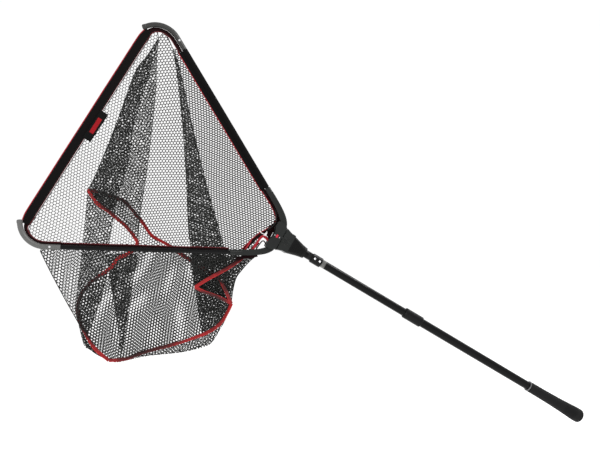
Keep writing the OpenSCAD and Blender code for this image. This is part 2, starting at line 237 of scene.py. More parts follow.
class Nodes:
    """A short way to build a node material."""

    def __init__(self, name, base, rough, metallic=0.0, specular=0.5, sheen=0.0):
        self.mat = bpy.data.materials.new(name)
        self.mat.use_nodes = True
        self.tree = self.mat.node_tree
        self.shader = self.tree.nodes["Principled BSDF"]
        self.set("Base Color", (*base, 1))
        self.set("Roughness", rough)
        self.set("Metallic", metallic)
        self.set("Specular IOR Level", specular)
        self.set("Sheen Weight", sheen)
        self.coords = self.add("TexCoord").outputs["Object"]

    def set(self, key, value):
        """A value for one of the shader's inputs, or the output of a node."""
        self.give(self.shader.inputs[key], value)

    def give(self, socket, value):
        if isinstance(value, bpy.types.NodeSocket):
            self.tree.links.new(value, socket)
        else:
            socket.default_value = value

    def add(self, kind, given=None, **settings):
        """A node with settings, and with values or outputs of other nodes given to its inputs."""
        node = self.tree.nodes.new("ShaderNode" + kind)
        for key, value in settings.items():
            setattr(node, key, value)
        for key, value in (given or {}).items():
            self.give(node.inputs[key], value)
        return node

    def mapped(self, scale=(1, 1, 1), turn=0.0):
        """Object coordinates turned about Y by degrees and scaled."""
        turned = self.add("Mapping", {"Vector": self.coords, "Rotation": (0, math.radians(turn), 0)})
        return self.add("Mapping", {"Vector": turned.outputs[0], "Scale": scale}).outputs[0]

    def noise(self, scale, detail=3.0, vector=None):
        given = {"Scale": scale, "Detail": detail, "Vector": vector or self.coords}
        return self.add("TexNoise", given).outputs["Fac"]

    def wave(self, scale, vector, direction, distortion):
        given = {"Scale": scale, "Distortion": distortion, "Vector": vector or self.coords}
        return self.add("TexWave", given, bands_direction=direction).outputs["Fac"]

    def ramp(self, fac, stops):
        node = self.add("ValToRGB", {"Fac": fac})
        ramp = node.color_ramp
        while len(ramp.elements) < len(stops):
            ramp.elements.new(0.5)
        for element, (at, colour) in zip(ramp.elements, stops):
            element.position = at
            element.color = (*colour, 1)
        return node.outputs["Color"]

    def maths(self, op, a, b):
        return self.add("Math", {0: a, 1: b}, operation=op).outputs[0]

    def mix(self, fac, a, b):
        """A mix of two colours, each a tuple or the output of a node."""
        a, b = ((*c, 1) if isinstance(c, tuple) else c for c in (a, b))
        return self.add("Mix", {0: fac, 6: a, 7: b}, data_type="RGBA").outputs[2]

    def roughness(self, fac, low, high):
        node = self.add("MapRange", {"To Min": low, "To Max": high, "Value": fac})
        self.set("Roughness", node.outputs[0])

    def rounded(self, radius):
        """Normals that round sharp edges by a radius."""
        return self.add("Bevel", {"Radius": radius}, samples=4).outputs[0]

    def bump(self, height, strength, distance, edge=0.0):
        """Bump from a height; edge rounds the sharp edges of a CAD piece by that radius."""
        given = {"Strength": strength, "Distance": distance, "Height": height}
        if edge:
            given["Normal"] = self.rounded(edge)
        self.set("Normal", self.add("Bump", given).outputs[0])


def tube_finish(name, base, rough, turn=HANDLE_TURN, metallic=0.0, specular=0.3):
    """Anodised or lacquered tube: fine drawn lines along it and slow changes of tone."""
    n = Nodes(name, base, rough, metallic=metallic, specular=specular)
    lines = n.noise(1.0, 4.0, n.mapped((8, 900, 900), turn))
    slow = n.noise(9.0, 2.0)
    tone = n.maths("ADD", n.maths("MULTIPLY", lines, 0.5), n.maths("MULTIPLY", slow, 0.5))
    n.set("Base Color", n.ramp(tone, [(0.3, shade(base, 0.7)), (0.7, shade(base, 1.5))]))
    n.roughness(lines, rough * 0.8, rough * 1.25)
    n.bump(lines, 0.15, 0.05 * MM, edge=0.3 * MM)
    return n.mat


def moulded(name, base, rough, grain=900.0, edge=0.6 * MM, wear=1.6, specular=0.25):
    """Moulded plastic or rubber: fine grain, faint cloudy tone, lighter worn edges."""
    n = Nodes(name, base, rough, specular=specular)
    fine = n.noise(grain, 3.0)
    cloud = n.noise(25.0, 3.0)
    worn = n.noise(140.0, 4.0)
    tone = n.mix(cloud, shade(base, 0.8), shade(base, 1.25))
    flat = n.add("NewGeometry").outputs["Normal"]
    facing = n.add("VectorMath", {0: n.rounded(2 * edge), 1: flat}, operation="DOT_PRODUCT")
    edge_mask = n.maths("MULTIPLY", n.maths("GREATER_THAN", 0.96, facing.outputs["Value"]), worn)
    n.set("Base Color", n.mix(edge_mask, tone, shade(base, wear)))
    n.roughness(cloud, rough * 0.85, min(1.0, rough * 1.15))
    n.bump(fine, 0.35, 0.12 * MM, edge=edge)
    return n.mat


def grip_rubber():
    """Ribbed rubber: fine rings along the grip with a matt, slightly dusty surface."""
    base = (0.004, 0.004, 0.0045)
    n = Nodes("grip_rubber", base, 0.5, specular=0.1)
    along = n.mapped((1, 1, 1), HANDLE_TURN)
    rings = n.wave(190.0, along, "X", 0.4)
    knurl = n.wave(120.0, along, "Y", 0.6)
    fine = n.noise(700.0, 3.0)
    dust = n.noise(30.0, 4.0)
    n.set("Base Color", n.mix(dust, (0.003, 0.003, 0.003), (0.008, 0.008, 0.0085)))
    height = n.maths("ADD", rings, n.maths("MULTIPLY", n.maths("ADD", knurl, fine), 0.35))
    n.roughness(dust, 0.5, 0.75)
    n.bump(height, 0.6, 0.35 * MM, edge=0.5 * MM)
    return n.mat


def steel():
    """Bright steel with fine marks."""
    rough = 0.16
    n = Nodes("bright_steel", (0.78, 0.78, 0.79), rough, metallic=1.0)
    marks = n.noise(500.0, 5.0)
    n.set("Base Color", n.mix(marks, (0.6, 0.6, 0.61), (0.88, 0.88, 0.89)))
    n.roughness(marks, rough * 0.7, rough * 1.6)
    n.bump(marks, 0.1, 0.05 * MM, edge=0.2 * MM)
    return n.mat


def satin_elbow(name, base):
    """Satin cast metal of the elbows, a little uneven, with faint marks."""
    n = Nodes(name, base, 0.38, metallic=0.1, specular=0.3)
    cloud = n.noise(45.0, 4.0)
    marks = n.noise(260.0, 6.0, n.mapped((1, 1, 0.2), HANDLE_TURN))
    tone = n.mix(cloud, shade(base, 0.82), shade(base, 1.2))
    n.set("Base Color", n.mix(n.maths("MULTIPLY", marks, 0.35), tone, shade(base, 1.7)))
    n.roughness(marks, 0.3, 0.5)
    n.bump(n.noise(600.0, 3.0), 0.18, 0.08 * MM, edge=0.4 * MM)
    return n.mat


def webbing(name, base, turn, light=1.8, pitch=1.5 * MM):
    """Woven tape: ribs across and rows of yarn along it."""
    n = Nodes(name, base, 0.85, specular=0.05, sheen=0.02)
    n.set("Sheen Roughness", 0.5)
    turned = n.mapped((1, 1, 1), turn)
    scale = 2 * math.pi / pitch / 20
    warp = n.wave(scale, turned, "X", 0.3)
    weft = n.wave(scale * 0.8, turned, "Z", 0.3)
    weave = n.maths("MULTIPLY", warp, weft)
    fuzz = n.noise(1500.0, 3.0)
    wear = n.noise(18.0, 4.0)
    tone = n.mix(weave, shade(base, 0.55), shade(base, light))
    n.set("Base Color", n.mix(n.maths("MULTIPLY", wear, 0.4), tone, shade(base, 1.3)))
    n.bump(n.maths("ADD", weave, n.maths("MULTIPLY", fuzz, 0.3)), 0.7, 0.3 * MM)
    return n.mat


def piping_tape():
    """Binding tape whose one edge is a red bead: the share of red is stored on the mesh."""
    n = Nodes("piping_tape", (0.35, 0.02, 0.02), 0.7, specular=0.2, sheen=0.04)
    n.set("Sheen Roughness", 0.5)
    red = n.add("Attribute", attribute_name="red").outputs["Fac"]
    yarn = n.noise(900.0, 3.0)
    patch = n.noise(60.0, 3.0)
    share = n.maths("ADD", red, n.maths("MULTIPLY", n.maths("SUBTRACT", patch, 0.5), 0.5))
    colour = n.ramp(share, [(0.15, (0.010, 0.004, 0.004)), (0.5, (0.075, 0.005, 0.006)),
                            (0.95, (0.42, 0.012, 0.014))])
    n.set("Base Color", n.mix(n.maths("MULTIPLY", yarn, 0.5), colour, (0.02, 0.004, 0.004)))
    n.bump(yarn, 0.6, 0.3 * MM)
    return n.mat


def red_cord(name, base):
    """Piping cord along a hem, with its spiral of yarns."""
    n = Nodes(name, base, 0.6, specular=0.2, sheen=0.05)
    spiral = n.wave(260.0, None, "DIAGONAL", 1.0)
    tone = n.noise(40.0, 3.0)
    n.set("Base Color", n.mix(tone, shade(base, 0.55), shade(base, 1.3)))
    n.bump(spiral, 0.5, 0.25 * MM)
    return n.mat


def coated_mesh():
    """Rubber-coated netting: near black, soft shine, with thin and thick spots in the coating."""
    n = Nodes("coated_mesh", (0.007, 0.007, 0.007), 0.42, specular=0.2)
    spots = n.noise(180.0, 3.0)
    broad = n.noise(8.0, 3.0)
    n.set("Base Color", n.mix(broad, (0.006, 0.0065, 0.006), (0.014, 0.0145, 0.0135)))
    n.roughness(spots, 0.3, 0.6)
    n.bump(spots, 0.3, 0.2 * MM)
    return n.mat


def make_materials():
    lacquer = (0.002, 0.002, 0.0022)
    return dict(
        tube=tube_finish("anodised_tube", (0.0028, 0.0028, 0.003), 0.25, specular=0.09),
        grip=grip_rubber(),
        inner=moulded("inner_plastic", (0.05, 0.05, 0.05), 0.6),
        ring=tube_finish("grip_ring_satin", (0.16, 0.16, 0.165), 0.35, metallic=0.8),
        collar=moulded("collar_plastic", (0.004, 0.004, 0.0043), 0.32, grain=1200.0, edge=0.5 * MM,
                        specular=0.1),
        bright=tube_finish("turned_alloy", (0.14, 0.14, 0.135), 0.3, metallic=0.9),
        dark_alloy=tube_finish("dark_alloy", (0.009, 0.009, 0.0095), 0.3, specular=0.15),
        joint=tube_finish("joint_black", (0.003, 0.003, 0.0033), 0.3, specular=0.12),
        steel=steel(),
        hub=moulded("hub_plastic", (0.009, 0.010, 0.0095), 0.33, specular=0.18),
        badge=moulded("red_badge", (0.4, 0.012, 0.03), 0.35, edge=0.3 * MM),
        boot=moulded("boot_rubber", (0.003, 0.003, 0.003), 0.45, grain=700.0, edge=0.4 * MM, specular=0.1),
        arm_upper=tube_finish("arm_lacquer_upper", lacquer, 0.12, UPPER_TURN, specular=0.12),
        arm_lower=tube_finish("arm_lacquer_lower", lacquer, 0.12, LOWER_TURN, specular=0.12),
        # the two elbows are one satin metal in two copies: the top elbow's darker copy is painted shade and
        # the left elbow's lighter copy is painted light
        elbow_painted_shade=satin_elbow("elbow_satin_painted_shade", (0.019, 0.019, 0.018)),
        elbow_painted_light=satin_elbow("elbow_satin_painted_light", (0.078, 0.078, 0.076)),
        strap=webbing("strap_webbing", (0.0035, 0.003, 0.003), STRAP_TURN),
        sleeve=webbing("sleeve_webbing", (0.0035, 0.0032, 0.0032), UPPER_TURN),
        hem=webbing("hem_webbing", (0.009, 0.0025, 0.003), LOWER_TURN),
        tag=webbing("tag_webbing", (0.004, 0.004, 0.004), STRAP_TURN, pitch=0.9 * MM),
        tag_red=webbing("tag_red", (0.24, 0.008, 0.012), STRAP_TURN, light=1.6, pitch=1.2 * MM),
        piping=piping_tape(),
        cord=red_cord("red_cord", (0.26, 0.006, 0.014)),
        cord_dark=red_cord("dark_red_cord", (0.085, 0.004, 0.007)),
        cord_pale=red_cord("pale_cord", (0.55, 0.53, 0.52)),
        thread=red_cord("black_thread", (0.03, 0.028, 0.028)),
        mesh=coated_mesh())


MATS = make_materials()
CAD_FINISH = dict(
    tube="lower_tube upper_tube neck_tube",
    grip="grip_sleeve butt_cap",
    inner="butt_plug guide_bush collet",
    ring="grip_ring",
    collar="twist_collar",
    bright="handle_tongue",
    dark_alloy="head_tongue",
    joint="joint_link",
    steel="joint_pin_rear joint_pin_front spring_ring slide_spring hub_screws arm_pivot_pins "
          "top_elbow_rivet left_elbow_rivet",
    hub="hub_core hub_front_cover hub_rear_cover slide_body upper_arm_socket lower_arm_socket",
    badge="hub_badge",
    boot="slide_boot",
    arm_upper="upper_arm_tube",
    arm_lower="lower_arm_tube",
    # the top elbow and its knob take the painted-shade copy of the elbow metal, the left ones its
    # painted-light copy
    elbow_painted_shade="top_elbow top_strap_knob",
    elbow_painted_light="left_elbow left_strap_knob")


def finish_cad_nodes():
    for key, names in CAD_FINISH.items():
        for name in names.split():
            node = frame["nodes"][name]
            node.data.materials.clear()
            node.data.materials.append(MATS[key])


finish_cad_nodes()

# ---- slide spring
SPRING_ENDS = (-83.1, -53.3)  # along the handle's axis; the slide pushes its far end
SPRING_MEAN = 13.15  # radius of its coils
SPRING_WIRE = 0.7  # radius of its wire
SPRING_TURNS = 7


def slide_spring():
    """The spring in the slide."""
    turn = np.linspace(0, 2 * math.pi * SPRING_TURNS, 20 * SPRING_TURNS + 1)
    along = np.linspace(*SPRING_ENDS, len(turn))
    line = np.array([local(x, SPRING_MEAN * math.cos(a), SPRING_MEAN * math.sin(a))
                     for x, a in zip(along, turn)])
    spring = swept("slide_spring_wire", line, round_cord(SPRING_WIRE * MM), "steel", "bright_steel", ALONG)
    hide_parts("slide_spring")
    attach(spring, "head")
    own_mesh(spring)


# ---- what moves with the arms
# Each half of the net, with its arm's body and its side.
HALVES = {"upper": ("arm_upper", 1), "lower": ("arm_lower", -1)}


def bend_with_arm(obj):
    """A piece of one half of the net, its transform baked into its mesh."""
    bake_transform(obj)


# ---- netting
CELL_W = 11.0 * MM  # a cell's width before it is gathered
CELL_H = 7.5 * MM  # from one row of cells to the next
ZIGZAG = 2.65 * MM  # how far the strands of a row go up and down
WARP = 1.6 * MM  # how far slow waves shift the cells
KNOT_R = 1.3 * MM  # half a strand's thickness where strands meet
STRAND_R = 1.05 * MM  # and at mid-length
MITRE = 0.6  # smallest sine used where strands meet at a sharp angle
STUB = 0.15  # shortest share of a strand left where it is cut
FEWEST = 20  # strands in the smallest half of a panel that is made
RIM_R = 1.2 * MM  # radius of a panel's edge cord
RIM_SHARE = 0.1  # most that cord may add to the panel's surface
LIFT_RANGE = 0.05  # a panel's billow grows within this distance of its edge
DEPTH_SEED, PIPING_SEED, CLOTH_SEED = SEED + 100, SEED + 200, SEED + 300


def slow_waves(seed, slowest):
    """Four waves for a shape that is not quite regular: two frequencies and a phase each."""
    rng = np.random.default_rng(seed)
    return [(rng.uniform(*slowest), rng.uniform(8, 20), rng.uniform(0, 6.3)) for _ in range(4)]


def inside(px, pz, poly):
    """Which points lie in a closed outline, by counting crossings."""
    x0, z0 = poly[:, 0], poly[:, 1]
    x1, z1 = np.roll(x0, -1), np.roll(z0, -1)
    hit = np.zeros(len(px), bool)
    for a, b, c, d in zip(x0, z0, x1, z1):
        if b == d:
            continue
        cross = ((b > pz) != (d > pz)) & (px < (c - a) * (pz - b) / (d - b) + a)
        hit ^= cross
    return hit


class Depth:
    """How far behind the arms a panel lies: blended from its outline, with a slow billow."""

    def __init__(self, outline, billow, seed):
        self.at = outline[::3]
        self.billow = billow
        self.waves = slow_waves(seed, (10, 22))

    def __call__(self, x, z):
        d2 = (x[:, None] - self.at[None, :, 0]) ** 2 + (z[:, None] - self.at[None, :, 2]) ** 2 + 1e-9
        w = d2 ** -1.5
        y = (w * self.at[None, :, 1]).sum(1) / w.sum(1)
        near = np.sqrt(d2.min(1))
        lift = 1 - np.exp(-near / LIFT_RANGE)
        wave = sum(np.sin(a * x + b * z + c) for a, b, c in self.waves) / len(self.waves)
        return y + self.billow * MM * lift * (0.7 + 0.5 * wave)


def lattice(outline, angle, bow, squeeze, seed):
    """Nodes and edges of a hexagonal lattice over an outline's front view, warped a little.

    bow is how many millimetres a row has risen 0.1 m from its middle."""
    cell = CELL_W * squeeze
    poly = outline[:, [0, 2]]
    mid = (poly.max(0) + poly.min(0)) / 2
    radius = np.linalg.norm(poly.max(0) - poly.min(0)) / 2 + 2 * CELL_W
    rows, cols = int(radius / CELL_H), int(2 * radius / cell)
    j, k = np.meshgrid(np.arange(-rows, rows + 1), np.arange(-cols, cols + 1), indexing="ij")
    u = k * cell / 2
    v = j * CELL_H + ZIGZAG * ((k + j) % 2)
    v = v + bow * (u / 0.1) ** 2 * MM
    for n, (a, b, c) in enumerate(slow_waves(seed, (8, 20))):
        shift = WARP * np.sin(a * u + b * v + c)
        u, v = (u + shift, v) if n % 2 else (u, v + shift)
    c, s = math.cos(angle), math.sin(angle)
    x = mid[0] + u * c - v * s
    z = mid[1] + u * s + v * c
    ids = np.arange(x.size).reshape(x.shape)
    edges = [np.stack([ids[:, :-1].ravel(), ids[:, 1:].ravel()], 1)]
    up = ((k + j) % 2 == 1)[:-1]
    edges.append(np.stack([ids[:-1][up], ids[1:][up]], 1))
    return x.ravel(), z.ravel(), np.vstack(edges)


def clipped(outline, angle, bow, squeeze, seed):
    """The lattice cut to its outline."""
    x, z, edges = lattice(outline, angle, bow, squeeze, seed)
    poly = outline[:, [0, 2]]
    within = inside(x, z, poly)
    a, b = within[edges[:, 0]], within[edges[:, 1]]
    kept = edges[a & b]
    cut = edges[a ^ b]
    swap = ~within[cut[:, 0]]
    cut[swap] = cut[swap][:, ::-1]
    lo, hi = np.zeros(len(cut)), np.ones(len(cut))
    p, q = np.stack([x, z], 1)[cut[:, 0]], np.stack([x, z], 1)[cut[:, 1]]
    for _ in range(12):
        t = (lo + hi) / 2
        at = p + (q - p) * t[:, None]
        good = inside(at[:, 0], at[:, 1], poly)
        lo, hi = np.where(good, t, lo), np.where(good, hi, t)
    ends = p + (q - p) * np.maximum(lo, STUB)[:, None]
    count = len(x)
    x, z = np.concatenate([x, ends[:, 0]]), np.concatenate([z, ends[:, 1]])
    new = count + np.arange(len(ends))
    kept = np.vstack([kept, np.stack([cut[:, 0], new], 1)])
    return x, z, kept


def strand_mesh(nodes, normals, edges, thick):
    """Four-sided strands, thinner at mid-length, mitred where they meet and open where they are cut."""
    knot_r, strand_r = KNOT_R * thick, STRAND_R * thick
    used = np.unique(edges)
    index = {int(n): i for i, n in enumerate(used)}
    meets = [[] for _ in used]
    for e, (a, b) in enumerate(edges):
        meets[index[int(a)]].append((e, 0))
        meets[index[int(b)]].append((e, 1))
    verts, faces = [], []
    ring = {}
    for i, n in enumerate(used):
        p, normal = nodes[n], normals[n]
        side_u = np.cross(normal, (0.0, 0.0, 1.0))
        side_u /= np.linalg.norm(side_u)
        side_v = np.cross(normal, side_u)
        star = []
        for e, end in meets[i]:
            d = nodes[edges[e][1 - end]] - p
            star.append((math.atan2(d @ side_v, d @ side_u), e, end))
        star.sort()
        top, bottom = len(verts), len(verts) + 1
        verts += [p + normal * knot_r, p - normal * knot_r]
        corners = []
        for m, (angle, _, _) in enumerate(star):
            following = star[(m + 1) % len(star)][0]
            opening = (following - angle) % (2 * math.pi) or 2 * math.pi
            if len(star) == 1:
                corners.append((angle + math.pi / 2, knot_r))
                corners.append((angle - math.pi / 2, knot_r))
                break
            corners.append((angle + opening / 2, knot_r / max(MITRE, math.sin(opening / 2))))
        first = len(verts)
        for angle, reach in corners:
            verts.append(p + reach * (math.cos(angle) * side_u + math.sin(angle) * side_v))
        for m, (_, e, end) in enumerate(star):
            left = first + m
            right = first + (1 if len(star) == 1 else (m - 1) % len(star))
            ring[(e, end)] = (top, left, bottom, right)
    for e, (a, b) in enumerate(edges):
        one = ring[(e, 0)]
        far = ring[(e, 1)]
        two = (far[0], far[3], far[2], far[1])
        mid = len(verts)
        centre = (nodes[a] + nodes[b]) / 2
        for v, w in zip(one, two):
            out = (verts[v] + verts[w]) / 2 - centre
            verts.append(centre + out * strand_r / max(np.linalg.norm(out), 1e-9))
        middle = (mid, mid + 1, mid + 2, mid + 3)
        for from_ring, to_ring in ((one, middle), (middle, two)):
            for k in range(4):
                n = (k + 1) % 4
                faces.append((from_ring[k], to_ring[k], to_ring[n], from_ring[n]))
    return np.array(verts), faces


def rim_runs(rim, half, whole):
    """The stretches of a panel's outline that belong to one half."""
    if whole:
        steps = lengths(rim - np.roll(rim, 1, axis=0)) > 0.2 * MM
        return [np.vstack([rim[steps], rim[steps][:1]])]
    z = local_z(rim)
    mine = z > 0 if half == "upper" else z <= 0
    start = int(np.argmin(mine))
    rim, mine = np.roll(rim, -start, axis=0), np.roll(mine, -start)
    runs, run = [], []
    for point, keep in zip(rim, mine):
        if keep:
            run.append(point)
        elif run:
            runs.append(np.array(run))
            run = []
    if run:
        runs.append(np.array(run))
    return [r for r in runs if len(r) > 3]


def net_area(nodes, edges):
    """Flat area of a piece of netting: three strands to a cell."""
    length = lengths(nodes[edges[:, 0]] - nodes[edges[:, 1]]).sum()
    slant = math.hypot(CELL_W / 2, ZIGZAG)
    return length / (2 * slant + CELL_H - ZIGZAG) * CELL_W * CELL_H


def declare_net(nodes, edges):
    """The box a piece of netting spans and the flat area of its cells, worked out and not kept."""
    span = nodes[np.unique(edges)]
    size = span.max(0) - span.min(0)
    area = net_area(nodes, edges)
    width, length = sorted((math.hypot(size[0], size[1]), size[2]))
    if area > width * length:  # gathered cloth is longer than its box
        length = 1.01 * area / width
    if area < 0.31 * width * length:  # a slanting strip is narrower than its box
        width = area / 0.5 / length


def net_panel(name, outline, angle=0.0, bow=0.0, squeeze=1.0, billow=6.0, seed=0, thick=1.0,
              node="net_base", trims=()):
    """One panel of the bag, in up to two halves, above and below the handle's axis.

    squeeze gathers its cells, and thick is its strands' share of the usual thickness."""
    x, z, edges = clipped(outline, math.radians(angle), bow, squeeze, SEED + seed)
    depth = Depth(outline, billow, DEPTH_SEED + seed)
    y = depth(x, z)
    step = 2 * MM
    slope_x = (depth(x + step, z) - depth(x - step, z)) / (2 * step)
    slope_z = (depth(x, z + step) - depth(x, z - step)) / (2 * step)
    normals = np.stack([slope_x, -np.ones_like(x), slope_z], 1)
    normals /= lengths(normals)[:, None]
    nodes = np.stack([x, y, z], 1)
    middle = (nodes[edges[:, 0]] + nodes[edges[:, 1]]) / 2
    above = local_z(middle) > 0
    rim = outline - SIDE * 0.3 * MM
    around = lengths(rim - np.roll(rim, 1, axis=0)).sum()
    rim_r = min(RIM_R, RIM_SHARE * net_area(nodes, edges) / (2 * math.pi * around))
    whole = above.all() or not above.any()
    for half, pick in (("upper", above), ("lower", ~above)):
        mine = edges[pick]
        if len(mine) < FEWEST:
            continue
        parts = [strand_mesh(nodes, normals, mine, thick)]
        for run in rim_runs(rim, half, whole):
            parts.append(sweep(run, oval(rim_r, rim_r, 6), -SIDE))
        verts, faces = join_parts(parts)
        obj = make_mesh(name if whole else name + "_" + half, verts, faces, MATS["mesh"])
        bend_with_arm(obj)
        declare_net(nodes, mine)
        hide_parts(node)


def net_layers(name, outline, layers, **common):
    """The layers of a fold, a panel each, given as the end of the name, angle, billow and seed."""
    for ending, angle, billow, seed in layers:
        net_panel(name + ending, outline, angle=angle, billow=billow, seed=seed, **common)


def closed(*pieces):
    """A closed outline from lines laid end to end."""
    return np.vstack([np.asarray(p)[:-1] for p in pieces])


# Seams and folds of the bag, in millimetres from the flip joint along the row's axes. First come the base's
# corners under the two elbows and the hub, the forks of its seams, and where folds and edges start.
BASE_TOP, BASE_LEFT, BASE_HUB = (-665, 190, 212), (-592, 110, -290), (-237, 118, -131)
FORK, NEAR_FORK = (-515, 120, 53), (-351, 48, -78)
TOP, ELBOW_FOLD = (-462, 12, 636), (-421, 8, 606)
LEFT, HUB = (-771, 8, 24), (-180, 14, 10)
SEAM_A = hung_line(
    BASE_TOP, (-618, 188, 202), (-559, 184, 178), (-506, 176, 119), (-474, 172, 75), (-425, 160, 46),
    (-387, 140, 18), (-333, 100, -18), (-285, 72, -50), (-262, 76, -85), BASE_HUB)
SEAM_B_UPPER = hung_line(
    BASE_TOP, (-638, 180, 172), (-600, 168, 144), (-568, 152, 117), (-536, 135, 84), FORK)
SEAM_B_LOWER = hung_line(
    FORK, (-525, 118, 32), (-548, 116, 15), (-570, 113, 5), (-590, 110, -22), (-624, 106, -48),
    (-650, 103, -70), (-672, 100, -104), (-679, 100, -140), (-671, 101, -181), (-656, 103, -212),
    (-631, 107, -254), BASE_LEFT)
SEAM_BOTTOM = hung_line(
    BASE_LEFT, (-541, 112, -286), (-490, 114, -268), (-413, 116, -250), (-345, 117, -230), (-302, 118, -213),
    (-270, 119, -190), (-249, 120, -158), BASE_HUB)
SEAM_C_LOWER = hung_line(BASE_HUB, (-282, 82, -108), (-326, 58, -91), NEAR_FORK)
SEAM_C_UPPER = hung_line(
    NEAR_FORK, (-312, 38, -53), (-261, 30, -25), (-226, 24, -1), (-191, 18, 30), (-172, 14, 52))
FOLD_LEFT = hung_line(TOP, (-494, 34, 588), (-528, 52, 541), (-582, 105, 397), (-639, 165, 262), BASE_TOP)
FOLD_MIDDLE = hung_line(
    TOP, (-467, 16, 573), (-468, 24, 498), (-477, 45, 390), (-492, 80, 255), (-508, 105, 144), FORK)
FOLD_TUCK = hung_line(
    TOP, (-485, 30, 547), (-508, 52, 465), (-530, 84, 395), (-552, 135, 260), (-600, 168, 144))
FOLD_RIGHT = hung_line(
    ELBOW_FOLD, (-400, 24, 550), (-362, 60, 398), (-318, 95, 234), (-275, 115, 91), (-250, 119, -6), BASE_HUB)
FOLD_NEAR = hung_line(
    ELBOW_FOLD, (-408, 14, 532), (-391, 24, 390), (-378, 40, 227), (-370, 50, 88), (-361, 52, 26), NEAR_FORK)
EDGE_LEFT = hung_line(
    LEFT, (-742, 30, -42), (-708, 60, -115), (-670, 92, -194), (-660, 100, -237), (-631, 106, -268),
    BASE_LEFT)
EDGE_RIGHT = hung_line(HUB, (-196, 30, -6), (-213, 48, -28), (-229, 62, -53), (-235, 90, -90), BASE_HUB)
SAG = hung_line(
    (-682, 104, -165), (-663, 108, -241), (-647, 112, -258), (-620, 114, -276), (-590, 116, -293),
    (-561, 120, -297), (-490, 128, -284), (-385, 132, -276), (-314, 134, -261), (-290, 134, -245),
    (-270, 132, -212), (-251, 127, -176), BASE_HUB)
TUCK_LEFT = hung_line(
    BASE_TOP, (-670, 170, 119), (-675, 150, 26), (-681, 130, -59), (-688, 112, -130), (-679, 105, -178),
    (-656, 104, -213))
TUCK_RIGHT = hung_line(
    (-656, 104, -213), (-643, 112, -190), (-626, 122, -141), (-612, 128, -87), (-604, 132, -40),
    (-602, 138, 20), (-592, 152, 90), (-584, 166, 150), (-576, 182, 196))
PLEAT = hung_line(
    (-606, 150, 16), (-520, 152, 16), (-528, 146, -60), (-540, 134, -155), (-556, 118, -268),
    (-568, 122, -205), (-582, 132, -120), (-596, 142, -50), (-606, 150, 16))[:-1]
FOLD_LOW = hung_line(
    (-362, 90, 14), (-361, 100, -12), (-354, 108, -50), (-345, 112, -90), (-336, 116, -150),
    (-325, 118, -214))
NET_X = -738.0  # where the netting meets the strap
STRAP_NET = smooth_line([local(NET_X, 4, z) for z in (-294, -150, 0, 150, 294)])
TOP_CURVE = smooth_line([local(NET_X, 4, 294), on_elbow(1.25, 20, 5), on_elbow(1.0, 16, 6), hang(TOP)])
TOP_INNER = smooth_line([hang(TOP), on_elbow(0.55, 15, 8), hang(ELBOW_FOLD)])
ARM_INNER = smooth_line(
    [hang(ELBOW_FOLD), on_arm(470, -17, 5), on_arm(440, -17, 4), on_arm(220, -17, 4), on_arm(10, -15, 4),
     *hang([(-143, 5, 183), (-122, 5, 144), (-118, 6, 120), (-124, 7, 103), (-145, 9, 87), (-163, 14, 74),
           (-172, 14, 52)])])
LEFT_CURVE = smooth_line(
    [hang(LEFT), on_elbow(0.1, 12, 6, -1), on_elbow(0.5, 14, 6, -1), on_elbow(0.9, 16, 5, -1),
     on_elbow(1.2, 20, 5, -1), local(NET_X, 4, -294)])
LOWER_LINE = smooth_line(
    [hang(LEFT), on_arm(ARM_LEN - 20, 0, 9, -1), on_arm(240, 0, 9, -1), on_arm(0, 0, 10, -1), hang(HUB)])


